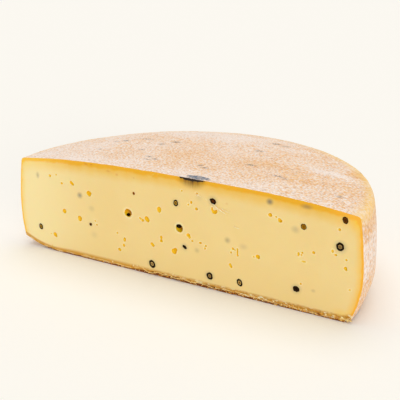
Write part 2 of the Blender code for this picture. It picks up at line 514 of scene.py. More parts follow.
def store(mesh, name, values):
    layer = mesh.attributes.new(name, "FLOAT", "POINT")
    layer.data.foreach_set("value", np.asarray(values, dtype=np.float32))


def distance_to_openings(points):
    """Rough distance on the cut, in metres, from each point to the rim of the nearest opening."""
    nearest = np.full(len(points), np.inf)
    for across, up, width, height, lean, depth in EYES + SOCKETS:
        offset = points / MM - (across, up)
        cosine, sine = math.cos(math.radians(lean)), math.sin(math.radians(lean))
        along = (offset[:, 0] * cosine + offset[:, 1] * sine) / (width * EYE_GROWTH / 2)
        upward = (offset[:, 1] * cosine - offset[:, 0] * sine) / (height * EYE_GROWTH / 2)
        gap = (np.hypot(along, upward) - 1) * (width + height) * EYE_GROWTH / 4
        nearest = np.minimum(nearest, np.maximum(gap, 0.0))
    return nearest * MM


def rim_at(across):
    """Radius of the heel's rim at the end of the cut that this place is nearer to."""
    turn = math.atan2(-CUT_PAST_AXIS, across)
    return heel_at(turn)[1] * plan_share(turn)


middle = cut_edge.mean(axis=1)
on_base = np.array(
    [
        math.hypot(across, CUT_PAST_AXIS) < rim_at(across) and up < LEFT_HEEL[2]
        for across, up in middle
    ]
)
on_side = ~on_base & (middle[:, 1] < HEIGHT - CROWN_DROP - EASE_BELOW)
on_crown = ~on_base & ~on_side
places = np.empty(len(body.data.vertices) * 3, dtype=np.float32)
body.data.vertices.foreach_get("co", places)
places = places.reshape(-1, 3).astype(float) - np.array(AXIS)
flat_places = places[:, [0, 2]]
under_crown = distance_to(cut_edge[on_crown], flat_places)
under_side = distance_to(cut_edge[on_side], flat_places) * SIDE_COUNTS
store(body.data, "under_rind", np.minimum(under_crown, under_side))
store(body.data, "above_base", distance_to(cut_edge[on_base], flat_places))
store(body.data, "depth", np.maximum(places[:, 1] + CUT_PAST_AXIS, 0.0))
store(body.data, "from_opening", distance_to_openings(flat_places))
store(body.data, "facing_up", [normal.vector.z for normal in body.data.vertex_normals])
from_corner = []
for across, back, up in places:
    turn = math.atan2(back, across)
    corner_radius, corner_height = corner_at(turn)
    radius = math.hypot(across, back)
    from_corner.append(math.hypot(radius - corner_radius * plan_share(turn), up - corner_height))
store(body.data, "from_corner", from_corner)
print("points:", len(places), "edges of the cut at the base:", int(on_base.sum()))

# %% [markdown]
# ## Relief
# A rind is pressed in cloth and dries for months, so it is never smooth: broad hollows, a pebbly
# skin, and fine wrinkles. The knife leaves the paste nearly flat, with faint waves along its
# stroke. Low down it drags through the dry base rind, so the last few millimetres are crumbly,
# more to the right, and small chips are missing where the cut meets the board. Each of these is
# noise of one size, added along the surface's own normal.

# %% Move the points by noise
noise.seed_set(4)
RIND_WAVES = ((30.0, 0.30), (8.0, 0.14), (2.8, 0.10))
KNIFE_WAVES = ((45.0, 0.12), (9.0, 0.03))
CRUMBLE_HEIGHT = 4.6 * MM
CRUMBLE_WAVES = ((3.0, 0.45), (1.5, 0.42), (0.9, 0.22))
CRUMBLE_OUT = 0.10 * MM
CHIP_HEIGHT = 1.3 * MM
CHIP_SIZE = 9.0
CHIPS_LEFT = 0.2
TORN_MISSING = 0.12
TORN_MIDDLE = 8 * MM
TORN_HALF = 36 * MM
FLAT = 0.02 * MM


def waves(place, sizes):
    """Sum of noises, each given as (size in mm, height in mm); the result is in metres."""
    return sum(high * MM * noise.noise(place / (size * MM)) for size, high in sizes)


def crumbly(across):
    """How crumbly the foot of the cut is at this place along it: 0 firm, 1 loose."""
    share = (across - wheel_low.x) / (wheel_high.x - wheel_low.x)
    return min(max(0.15 + 1.3 * (share - 0.3), 0.12), 1.0)


def torn_away(across):
    """How much of the lowest crust is torn off at this place along the cut, from 0 to 1."""
    return max(1 - ((across - TORN_MIDDLE) / TORN_HALF) ** 2, 0.0)


def add_relief(mesh):
    shape = bmesh.new()
    shape.from_mesh(mesh)
    shape.normal_update()
    above_base = shape.verts.layers.float["above_base"]
    depth_in = shape.verts.layers.float["depth"]
    moves = []
    for vert in shape.verts:
        rind = [face.normal for face in vert.link_faces if face.material_index == RIND_SLOT]
        place = vert.co - AXIS
        from_cut = abs(vert.co.y - cheese_low.y)
        if rind and vert.co.z < FLAT and from_cut > FLAT:
            continue
        if rind:
            normal = sum(rind, Vector()).normalized()
            rise = min(vert.co.z / CRUMBLE_HEIGHT, 1.0)
            moves.append((vert, normal * waves(place, RIND_WAVES) * rise))
        elif vert[depth_in] < FLAT:
            out = waves(Vector((place.x, 0.0, place.z * 2)), KNIFE_WAVES)
            loose = max(1 - vert[above_base] / CRUMBLE_HEIGHT, 0.0) * crumbly(place.x)
            out += math.sqrt(loose) * (waves(place, CRUMBLE_WAVES) + CRUMBLE_OUT)
            moves.append((vert, Vector((0.0, -out, 0.0))))
    for vert, move in moves:
        vert.co += move
    for vert in shape.verts:
        near_edge = vert.co.z < CHIP_HEIGHT and vert.co.y < cheese_low.y + 2 * CHIP_HEIGHT
        if near_edge:
            place = Vector((vert.co.x, 0.0, 0.0)) / (CHIP_SIZE * MM)
            missing = max(noise.noise(place) + 0.5 * noise.noise(place * 3.1), 0.0)
            missing *= blend(CHIPS_LEFT, 1.0, crumbly(vert.co.x - AXIS.x))
            missing += TORN_MISSING * torn_away(vert.co.x - AXIS.x)
            share = 1 - (vert.co.y - cheese_low.y) / (2 * CHIP_HEIGHT)
            vert.co.z += 1.6 * CHIP_HEIGHT * missing * min(max(share, 0.0), 1.0)
    shape.to_mesh(mesh)
    shape.free()


add_relief(body.data)
print("body box, mm:", [round(side / MM, 1) for side in body.dimensions])

# %% [markdown]
# ## Nodes in small steps
# A shader tree written by hand soon hides what it does, so a few helpers each add one node and
# hand back the socket it puts out. Colours are given as they look on a screen and turned into
# the linear values that a renderer works in.

# %% Helpers for shader trees
def seen(red, green, blue):
    """A colour as a screen shows it, from 0 to 255, as linear RGBA."""
    linear = []
    for part in (red / 255, green / 255, blue / 255):
        linear.append(part / 12.92 if part <= 0.04045 else ((part + 0.055) / 1.055) ** 2.4)
    return (*linear, 1.0)


def join(tree, value, socket):
    """Link another node's output to a socket, or set the socket to a plain value."""
    if isinstance(value, bpy.types.NodeSocket):
        tree.links.new(value, socket)
    else:
        socket.default_value = value


def calculate(tree, operation, *values, clamp=False):
    made = tree.nodes.new("ShaderNodeMath")
    made.operation = operation
    made.use_clamp = clamp
    for value, socket in zip(values, made.inputs):
        join(tree, value, socket)
    return made.outputs["Value"]


def rising(tree, value, start, end):
    """0 up to start, 1 from end on, and smooth between; start may be the larger."""
    made = tree.nodes.new("ShaderNodeMapRange")
    made.interpolation_type = "SMOOTHSTEP"
    join(tree, value, made.inputs["Value"])
    if start > end:
        made.inputs["From Min"].default_value = end
        made.inputs["From Max"].default_value = start
        made.inputs["To Min"].default_value = 1.0
        made.inputs["To Max"].default_value = 0.0
    else:
        made.inputs["From Min"].default_value = start
        made.inputs["From Max"].default_value = end
    return made.outputs["Result"]


def mixed(tree, share, first, second, blend_type="MIX"):
    made = tree.nodes.new("ShaderNodeMix")
    made.data_type = "RGBA"
    made.blend_type = blend_type
    colours = [socket for socket in made.inputs if socket.type == "RGBA"]
    join(tree, share, made.inputs["Factor"])
    join(tree, first, colours[0])
    join(tree, second, colours[1])
    return next(socket for socket in made.outputs if socket.type == "RGBA")


def stored(tree, name):
    made = tree.nodes.new("ShaderNodeAttribute")
    made.attribute_name = name
    return made.outputs["Fac"]


def object_place(tree):
    """The point's place on the object, whole and as its x, y and z."""
    place = tree.nodes.new("ShaderNodeTexCoord").outputs["Object"]
    split = tree.nodes.new("ShaderNodeSeparateXYZ")
    tree.links.new(place, split.inputs[0])
    return place, split.outputs["X"], split.outputs["Y"], split.outputs["Z"]


def new_material(name):
    material = bpy.data.materials.new(name)
    material.use_nodes = True
    return material, material.node_tree, material.node_tree.nodes["Principled BSDF"]


# %% [markdown]
# ## Two effects that several finishes share
# **Mottle** is noise with its size given in millimetres and its contrast set by the two values
# it fades between. **Soft spot** is a blurred oval at a given place. Peppercorns just under the
# cut, halos of pepper oil and flecks of mould are all soft spots. Both are node groups, so each
# finish places them with its own values.

# %% The mottle group
def value_socket(tree, name, value, kind="NodeSocketFloat"):
    socket = tree.interface.new_socket(name, in_out="INPUT", socket_type=kind)
    socket.default_value = value


def mottle_group():
    tree = bpy.data.node_groups.new("Mottle", "ShaderNodeTree")
    value_socket(tree, "Place", (0.0, 0.0, 0.0), "NodeSocketVector")
    value_socket(tree, "Size mm", 1.0)
    value_socket(tree, "Detail", 2.0)
    value_socket(tree, "Low", 0.4)
    value_socket(tree, "High", 0.6)
    tree.interface.new_socket("Mask", in_out="OUTPUT", socket_type="NodeSocketFloat")
    given = tree.nodes.new("NodeGroupInput").outputs
    result = tree.nodes.new("NodeGroupOutput").inputs
    texture = tree.nodes.new("ShaderNodeTexNoise")
    tree.links.new(given["Place"], texture.inputs["Vector"])
    tree.links.new(calculate(tree, "DIVIDE", 1 / MM, given["Size mm"]), texture.inputs["Scale"])
    tree.links.new(given["Detail"], texture.inputs["Detail"])
    spread = tree.nodes.new("ShaderNodeMapRange")
    spread.interpolation_type = "SMOOTHSTEP"
    tree.links.new(texture.outputs["Fac"], spread.inputs["Value"])
    tree.links.new(given["Low"], spread.inputs["From Min"])
    tree.links.new(given["High"], spread.inputs["From Max"])
    tree.links.new(spread.outputs["Result"], result["Mask"])
    return tree


MOTTLE = mottle_group()


def mottle(tree, place, size, low=0.4, high=0.6, detail=2.0):
    made = tree.nodes.new("ShaderNodeGroup")
    made.node_tree = MOTTLE
    join(tree, place, made.inputs["Place"])
    for name, value in (("Size mm", size), ("Detail", detail), ("Low", low), ("High", high)):
        made.inputs[name].default_value = value
    return made.outputs["Mask"]


# %% The soft spot group
def soft_spot_group():
    tree = bpy.data.node_groups.new("Soft spot", "ShaderNodeTree")
    value_socket(tree, "Place", (0.0, 0.0, 0.0), "NodeSocketVector")
    value_socket(tree, "Middle", (0.0, 0.0, 0.0), "NodeSocketVector")
    value_socket(tree, "Half size", (1.0, 1.0, 1.0), "NodeSocketVector")
    value_socket(tree, "Core", 0.0)
    value_socket(tree, "Strength", 1.0)
    tree.interface.new_socket("Mask", in_out="OUTPUT", socket_type="NodeSocketFloat")
    given = tree.nodes.new("NodeGroupInput").outputs
    result = tree.nodes.new("NodeGroupOutput").inputs
    offset = tree.nodes.new("ShaderNodeVectorMath")
    offset.operation = "SUBTRACT"
    tree.links.new(given["Place"], offset.inputs[0])
    tree.links.new(given["Middle"], offset.inputs[1])
    squeezed = tree.nodes.new("ShaderNodeVectorMath")
    squeezed.operation = "DIVIDE"
    tree.links.new(offset.outputs["Vector"], squeezed.inputs[0])
    tree.links.new(given["Half size"], squeezed.inputs[1])
    length = tree.nodes.new("ShaderNodeVectorMath")
    length.operation = "LENGTH"
    tree.links.new(squeezed.outputs["Vector"], length.inputs[0])
    fade = tree.nodes.new("ShaderNodeMapRange")
    fade.interpolation_type = "SMOOTHSTEP"
    tree.links.new(length.outputs["Value"], fade.inputs["Value"])
    tree.links.new(given["Core"], fade.inputs["From Min"])
    fade.inputs["From Max"].default_value = 1.0
    tree.links.new(given["Strength"], fade.inputs["To Min"])
    fade.inputs["To Max"].default_value = 0.0
    tree.links.new(fade.outputs["Result"], result["Mask"])
    return tree


SOFT_SPOT = soft_spot_group()
FAR = 1.0


def soft_spot(tree, place, middle, half_size, strength=1.0, core=0.0):
    made = tree.nodes.new("ShaderNodeGroup")
    made.node_tree = SOFT_SPOT
    join(tree, place, made.inputs["Place"])
    made.inputs["Middle"].default_value = middle
    made.inputs["Half size"].default_value = half_size
    made.inputs["Core"].default_value = core
    made.inputs["Strength"].default_value = strength
    return made.outputs["Mask"]


def strongest(tree, masks):
    """The highest of several masks at each point."""
    result = masks[0]
    for mask in masks[1:]:
        result = calculate(tree, "MAXIMUM", result, mask)
    return result


print("node groups:", [group.name for group in bpy.data.node_groups])


# %% [markdown]
# ## The paste
# The paste is pale butter yellow, a little lighter towards the left end. Under the rind it has
# dried to a golden band, deepest at the very edge. Inside the eyes light bounces between yellow
# walls, so they look deeper and more golden than the face; this is painted bounce light on their
# walls, with painted shade on the walls that face down and deep inside, and a painted highlight
# round their rims. Peppercorns lying just behind the face show as blurred grey ghosts, and the
# ones that were cut have let a faint grey halo into the paste round them. Mould has crept in at
# one place on the top edge. The foot of the cut is brown and granular, where the knife dragged
# bits of the base rind along; its colours also carry painted shade along the board, in the torn
# gap and between the grains, and painted highlights on the grains.

# %% Marks on the cut face
# Millimetres: (across, up, width, height, strength)
GHOSTS = (
    (-110.0, 57.0, 4.4, 7.0, 0.55),
    (-72.8, 47.7, 6.6, 6.6, 0.85),
    (-63.2, 39.5, 8.0, 7.0, 0.22),
    (-62.0, 20.0, 9.0, 8.0, 0.14),
    (20.5, 25.5, 5.5, 5.5, 0.30),
    (42.4, 37.2, 6.0, 6.0, 0.55),
    (53.4, 35.0, 9.0, 6.0, 0.22),
    (69.9, 67.7, 6.4, 6.0, 1.0),
    (86.9, 53.2, 8.0, 7.0, 0.35),
    (93.0, 68.6, 11.0, 4.6, 0.62),
    (100.2, 16.0, 4.4, 3.6, 0.3),
    (22.0, 62.0, 8.0, 7.0, 0.15),
)
HALOS = (
    (-110.7, 17.0, 8.0, 0.20),
    (-64.7, 27.5, 5.5, 0.25),
    (-32.6, 41.8, 9.0, 0.15),
    (5.0, 55.6, 9.0, 0.35),
    (7.4, 38.8, 10.0, 0.35),
    (11.3, 26.0, 7.5, 0.40),
    (31.7, 61.6, 10.0, 0.45),
    (-14.1, 8.1, 10.0, 0.35),
    (30.0, 9.4, 10.0, 0.42),
    (51.5, 9.7, 7.0, 0.20),
    (89.4, 14.6, 9.5, 0.55),
    (91.8, 56.0, 6.5, 0.15),
    (116.3, 64.6, 7.0, 0.22),
    (114.7, 47.8, 11.0, 0.60),
)
# Millimetres: (across, up, width, height, strength) of small dried spots
DRY_SPOTS = (
    (-66.0, 71.6, 4.4, 1.5, 0.9),
    (-61.5, 71.7, 3.4, 1.3, 0.8),
    (-47.5, 69.3, 6.0, 2.6, 0.35),
    (-40.5, 67.8, 3.4, 2.6, 0.40),
    (-27.0, 67.6, 2.4, 2.0, 0.30),
    (41.5, 61.5, 3.0, 2.4, 0.20),
)
# Millimetres: (across, up, width, height, strength) where the golden band spreads at a corner
GLOWS = (
    (124.5, 66.5, 15.0, 20.0, 0.85),
    (-125.0, 67.0, 12.0, 14.0, 0.60),
    (118.0, 4.0, 16.0, 12.0, 0.45),
)
MOULD_MIDDLE = 16.8 * MM
MOULD_HALF_WIDTH = 12.6 * MM
MOULD_THICKNESS = 2.4 * MM
SEEP_HALF_WIDTH = 12.5 * MM
SEEP_REACH = 8.2 * MM
PASTE = seen(246, 219, 152)
PASTE_WARM = seen(245, 217, 149)
PASTE_LEFT = seen(255, 233, 174)
RIND_BAND = seen(240, 180, 30)
RIND_BAND_LEFT = seen(255, 200, 68)
RIND_BLUSH = seen(242, 193, 74)
RIND_BLUSH_LEFT = seen(255, 222, 136)
RIND_BLUSH_RIGHT = seen(252, 203, 98)
RIND_BAND_RIGHT = seen(254, 187, 56)
GLOW = seen(255, 206, 56)
DRY = seen(214, 128, 44)
# A painted highlight on the paste round the rim of each opening.
PIT_LIP_HIGHLIGHT = seen(255, 234, 176)
# Painted bounce light on the walls of the openings: golden, lighter on walls that face up, with painted
# shade on walls that face down and deep inside.
PIT_RIM = seen(248, 212, 96)
PIT_LIT = seen(247, 205, 12)
PIT_ROOF_SHADE = seen(232, 168, 6)
PIT_DEEP_SHADE = seen(214, 150, 28)
STAIN = seen(106, 103, 102)
SEEP = seen(104, 70, 22)
MOULD = seen(40, 24, 6)
# Brown base rind at the foot of the cut, with painted shade where it meets the board and in the torn
# gap.
BASE_BROWN_AND_SHADE = seen(132, 66, 2)
# Amber of the crumbly crust, partly its own colour, partly painted shade in the hollows between its
# grains.
BASE_AMBER_AND_SHADE = seen(200, 132, 30)
BASE_GOLD = seen(214, 154, 38)
# Pale specks of the crumbly foot: partly pale crumbs of crust, partly painted highlights on its grains.
BASE_PALE_AND_GLINT = seen(255, 240, 196)


def cut_spots(tree, place, rows):
    """One mask for several soft spots on the cut, given as rows of a table."""
    masks = []
    for across, up, width, height, strength in rows:
        half = (width / 2 * MM, FAR, height / 2 * MM)
        masks.append(soft_spot(tree, place, on_cut(across, up), half, strength))
    return strongest(tree, masks)


def mould_masks(tree, across, under):
    """The solid edge of the mould, and the stain that seeps from it down into the paste."""
    along = tree.nodes.new("ShaderNodeCombineXYZ")
    tree.links.new(across, along.inputs["X"])
    tree.links.new(under, along.inputs["Z"])
    middle = (AXIS.x + MOULD_MIDDLE, 0.0, 0.0)
    edge_half = (MOULD_HALF_WIDTH, FAR, MOULD_THICKNESS)
    edge = soft_spot(tree, along.outputs["Vector"], middle, edge_half, core=0.45)
    seep_half = (SEEP_HALF_WIDTH, FAR, SEEP_REACH)
    seep = soft_spot(tree, along.outputs["Vector"], middle, seep_half, 0.95, core=0.22)
    stretched = tree.nodes.new("ShaderNodeVectorMath")
    stretched.operation = "MULTIPLY"
    tree.links.new(along.outputs["Vector"], stretched.inputs[0])
    stretched.inputs[1].default_value = (1.0, 1.0, 0.12)
    threads = mottle(tree, stretched.outputs["Vector"], 0.9, 0.25, 0.75)
    ragged = rising(tree, calculate(tree, "MULTIPLY_ADD", threads, 0.4, edge), 0.50, 0.90)
    threads = calculate(tree, "MULTIPLY_ADD", threads, 0.35, 0.65)
    ragged = calculate(tree, "MULTIPLY", ragged, rising(tree, edge, 0.0, 0.3))
    return ragged, calculate(tree, "MULTIPLY", seep, threads)


def paste_material():
    material, tree, shader = new_material("cheese_paste")
    place, across, back, up = object_place(tree)
    colour = mixed(tree, mottle(tree, place, 34.0), PASTE, PASTE_WARM)
    colour = mixed(tree, rising(tree, across, -0.050, -0.122), colour, PASTE_LEFT)

    own_under = stored(tree, "under_rind")
    wander = calculate(tree, "MULTIPLY", mottle(tree, place, 6.0, 0.3, 0.7), 1.0 * MM)
    under = calculate(tree, "ADD", own_under, wander)
    blush = calculate(tree, "MULTIPLY", rising(tree, under, 12.5 * MM, 2.0 * MM), 0.95)
    to_left = rising(tree, across, -0.070, -0.118)
    blush_colour = mixed(tree, to_left, RIND_BLUSH, RIND_BLUSH_LEFT)
    to_right = rising(tree, across, 0.100, 0.122)
    blush_colour = mixed(tree, to_right, blush_colour, RIND_BLUSH_RIGHT)
    colour = mixed(tree, blush, colour, blush_colour)
    colour = mixed(tree, cut_spots(tree, place, GLOWS), colour, GLOW)
    band = mixed(tree, to_left, RIND_BAND, RIND_BAND_LEFT)
    band = mixed(tree, to_right, band, RIND_BAND_RIGHT)
    narrower = calculate(tree, "MULTIPLY_ADD", to_left, 0.2, 1.0)
    under_band = calculate(tree, "MULTIPLY", under, narrower)
    colour = mixed(tree, rising(tree, under_band, 4.5 * MM, 2.5 * MM), colour, band)
    colour = mixed(tree, cut_spots(tree, place, DRY_SPOTS), colour, DRY)

    hidden = [(across, up, size, size, strength) for across, up, size, strength in HALOS]
    stains = calculate(tree, "MULTIPLY", cut_spots(tree, place, GHOSTS + tuple(hidden)), 0.78)
    colour = mixed(tree, stains, colour, STAIN)

    crust_scale = calculate(tree, "MULTIPLY_ADD", rising(tree, across, -0.080, -0.112), 0.5, 1.0)
    above = calculate(tree, "MULTIPLY", stored(tree, "above_base"), crust_scale)
    loose = rising(tree, across, -0.05, 0.05)
    drawn_out = tree.nodes.new("ShaderNodeVectorMath")
    drawn_out.operation = "MULTIPLY"
    tree.links.new(place, drawn_out.inputs[0])
    drawn_out.inputs[1].default_value = (0.45, 1.0, 1.0)
    drawn_out = drawn_out.outputs["Vector"]
    grain = mottle(tree, drawn_out, 1.2, 0.44, 0.58)
    gold = calculate(tree, "MULTIPLY", rising(tree, above, 5.2 * MM, 2.2 * MM), 0.95)
    colour = mixed(tree, gold, colour, BASE_GOLD)
    rough = calculate(tree, "MULTIPLY", rising(tree, above, 5.0 * MM, 3.2 * MM), loose)
    # Amber in the hollows of the grain that the bump raises: partly the crust's own colour, partly
    # painted shade.
    dark = calculate(tree, "MULTIPLY", calculate(tree, "SUBTRACT", 1.0, grain), 0.6)
    colour = mixed(tree, calculate(tree, "MULTIPLY", dark, rough), colour, BASE_AMBER_AND_SHADE)
    # Pale specks and a pale line along the crumbly foot: partly pale crumbs of crust, partly painted
    # highlights.
    pale_line = rising(tree, above, 2.2 * MM, 1.5 * MM)
    pale_line = calculate(tree, "MULTIPLY", pale_line, mottle(tree, drawn_out, 2.6, 0.40, 0.60))
    pale_specks_and_glints = calculate(tree, "MULTIPLY", mottle(tree, drawn_out, 1.7, 0.54, 0.64), rough)
    pale_specks_and_glints = calculate(tree, "MAXIMUM", pale_specks_and_glints, calculate(tree, "MULTIPLY", pale_line, 0.45))
    colour = mixed(tree, pale_specks_and_glints, colour, BASE_PALE_AND_GLINT)
    # Brown base rind at the foot, with painted shade of its contact with the board; over the torn
    # middle the brown reaches higher as painted shade of the gap under the torn crust.
    torn = calculate(tree, "MULTIPLY", rising(tree, across, -0.035, -0.015), 1.5 * MM)
    torn = calculate(tree, "MULTIPLY", torn, rising(tree, across, 0.055, 0.025))
    wander = calculate(tree, "MULTIPLY", mottle(tree, drawn_out, 4.0, 0.35, 0.65), 0.7 * MM)
    bare = calculate(tree, "SUBTRACT", calculate(tree, "SUBTRACT", above, torn), wander)
    brown = rising(tree, bare, 0.7 * MM, 0.3 * MM)
    on_board = rising(tree, across, -0.118, -0.100)
    colour = mixed(tree, calculate(tree, "MULTIPLY", brown, on_board), colour, BASE_BROWN_AND_SHADE)

    depth = stored(tree, "depth")
    # Painted highlight: a pale ring on the paste round the rim of each opening, away from the rind.
    lip = rising(tree, stored(tree, "from_opening"), 1.1 * MM, 0.1 * MM)
    lip = calculate(tree, "MULTIPLY", lip, rising(tree, own_under, 1.0 * MM, 5.0 * MM))
    colour = mixed(tree, calculate(tree, "MULTIPLY", lip, 0.7), colour, PIT_LIP_HIGHLIGHT)
    # Painted bounce light and shade inside the openings: golden from the rim in, lighter on walls that
    # face up, painted shade on walls that face down, and painted shade deep inside.
    colour = mixed(tree, rising(tree, depth, 0.02 * MM, 0.20 * MM), colour, PIT_RIM)
    wall_lit_and_shaded = mixed(tree, rising(tree, stored(tree, "facing_up"), 0.4, -0.9), PIT_LIT, PIT_ROOF_SHADE)
    colour = mixed(tree, rising(tree, depth, 0.15 * MM, 0.75 * MM), colour, wall_lit_and_shaded)
    colour = mixed(tree, rising(tree, depth, 1.8 * MM, 4.0 * MM), colour, PIT_DEEP_SHADE)

    edge, seep = mould_masks(tree, across, own_under)
    colour = mixed(tree, seep, colour, SEEP)
    colour = mixed(tree, edge, colour, MOULD)

    tree.links.new(colour, shader.inputs["Base Color"])
    shader.inputs["Roughness"].default_value = 0.46
    shader.inputs["Specular IOR Level"].default_value = 0.3
    shader.inputs["Subsurface Weight"].default_value = 0.25
    shader.inputs["Subsurface Radius"].default_value = (1.0, 0.55, 0.18)
    shader.inputs["Subsurface Scale"].default_value = 2.5 * MM
    fine = calculate(tree, "MULTIPLY", mottle(tree, place, 0.7, 0.3, 0.7), 0.03 * MM)
    crust = calculate(tree, "MULTIPLY", grain, rough)
    height = calculate(tree, "ADD", fine, calculate(tree, "MULTIPLY", crust, 0.4 * MM))
    bump = tree.nodes.new("ShaderNodeBump")
    bump.inputs["Distance"].default_value = 1.0
    tree.links.new(height, bump.inputs["Height"])
    tree.links.new(bump.outputs["Normal"], shader.inputs["Normal"])
    return material


# %% [markdown]
# ## The rind
# Washing with brine turns a rind orange, and a white to pinkish bloom then grows over it. The
# bloom breaks up at every scale: broad paler and more orange areas, a pebbly middle size, and a
# fine grain. It is rubbed off along the wheel's upper corner, which is more yellow, and thickest
# near the cut and on the side. Blue-grey flecks of mould are scattered on the crown.

# %% The rind's finish
# Millimetres: (across, back from the axis, width, depth, strength)
FLECKS = (
    (-34.0, 15.0, 7.0, 4.0, 1.0),
    (-27.0, 11.5, 6.0, 3.4, 1.0),
    (-31.0, 8.0, 9.0, 3.0, 0.55),
    (-39.0, 61.0, 10.0, 7.0, 0.82),
    (-45.0, 50.0, 7.0, 7.0, 0.49),
    (8.0, 13.0, 5.0, 4.0, 1.0),
    (13.0, 9.0, 8.0, 4.0, 0.76),
    (-82.0, 45.0, 6.0, 5.0, 0.55),
    (-77.0, 50.0, 6.5, 5.5, 1.0),
    (-66.0, 62.0, 16.0, 5.0, 0.55),
    (-78.0, 18.0, 5.0, 4.0, 0.62),
    (-49.0, 29.0, 7.0, 4.0, 0.55),
    (37.0, 31.0, 10.0, 4.0, 1.0),
    (27.0, 68.0, 8.0, 6.0, 0.76),
    (27.0, 101.0, 8.0, 7.0, 1.0),
    (36.0, 97.0, 10.0, 7.0, 0.55),
    (62.0, 17.0, 10.0, 4.0, 0.89),
    (68.0, 15.0, 6.0, 4.0, 0.62),
    (106.0, 5.5, 8.0, 5.0, 0.82),
    (104.0, 66.0, 7.0, 5.0, 0.49),
)
# Millimetres: (across, back from the axis, width, depth, bloom; below 0 is rubbed thin)
AREAS = (
    (-22.0, 36.0, 60.0, 40.0, -0.16),
    (4.0, 62.0, 50.0, 60.0, 0.14),
    (48.0, 36.0, 66.0, 40.0, -0.16),
    (76.0, 20.0, 50.0, 28.0, -0.16),
    (42.0, 86.0, 56.0, 30.0, 0.20),
    (88.0, 46.0, 52.0, 20.0, 0.46),
    (104.0, 58.0, 28.0, 28.0, -0.60),
    (110.0, 6.0, 26.0, 24.0, 0.12),
    (-90.0, 20.0, 70.0, 70.0, 0.20),
    (-13.0, 98.0, 160.0, 70.0, 0.34),
    (92.0, -9.0, 80.0, 24.0, -0.24),
    (-28.0, -10.0, 50.0, 16.0, -0.14),
)
ORANGE = seen(250, 207, 156)
ORANGE_DEEP = seen(240, 183, 123)
BLOOM = seen(255, 242, 236)
DULL = seen(176, 148, 124)
CORNER = seen(255, 218, 142)
FLECK = seen(88, 90, 104)
FLECK_GROWTH = 1.25
PATCH = seen(120, 130, 148)
# Browner rind low down, partly the base rind's own colour, partly painted shade where it meets the
# board.
UNDERSIDE_AND_SHADE = seen(196, 132, 56)


def crown_spot(tree, place, across, back, width, depth, strength, core=0.0):
    middle = AXIS + Vector((across, back, HEIGHT / MM)) * MM
    half = (width / 2 * MM, depth / 2 * MM, FAR)
    return soft_spot(tree, place, middle, half, strength, core)


def bloom_cover(tree, place, across, back, up, grain, pebbles):
    """How thickly the bloom covers the rind, from 0 bare to 1 white."""
    on_side = rising(tree, stored(tree, "facing_up"), 0.85, 0.35)
    handled = strongest(tree, [rising(tree, up, 0.046, 0.058), rising(tree, up, 0.038, 0.022)])
    handled = calculate(tree, "MULTIPLY", handled, on_side)
    near_cut = rising(tree, back, cheese_low.y + 24 * MM, cheese_low.y)
    near_cut = calculate(tree, "MULTIPLY", near_cut, calculate(tree, "SUBTRACT", 1.0, on_side))
    parts = [
        (grain, 0.64),
        (pebbles, 0.12),
        (handled, -0.42),
        (on_side, 0.26),
        (mottle(tree, place, 26.0, 0.35, 0.65), 0.16),
        (near_cut, 0.26),
        (rising(tree, across, 0.02, -0.12), 0.15),
    ]
    parts += [(crown_spot(tree, place, *row), 1.0) for row in AREAS]
    cover = 0.02
    for mask, weight in parts:
        cover = calculate(tree, "MULTIPLY_ADD", mask, weight, cover)
    return cover


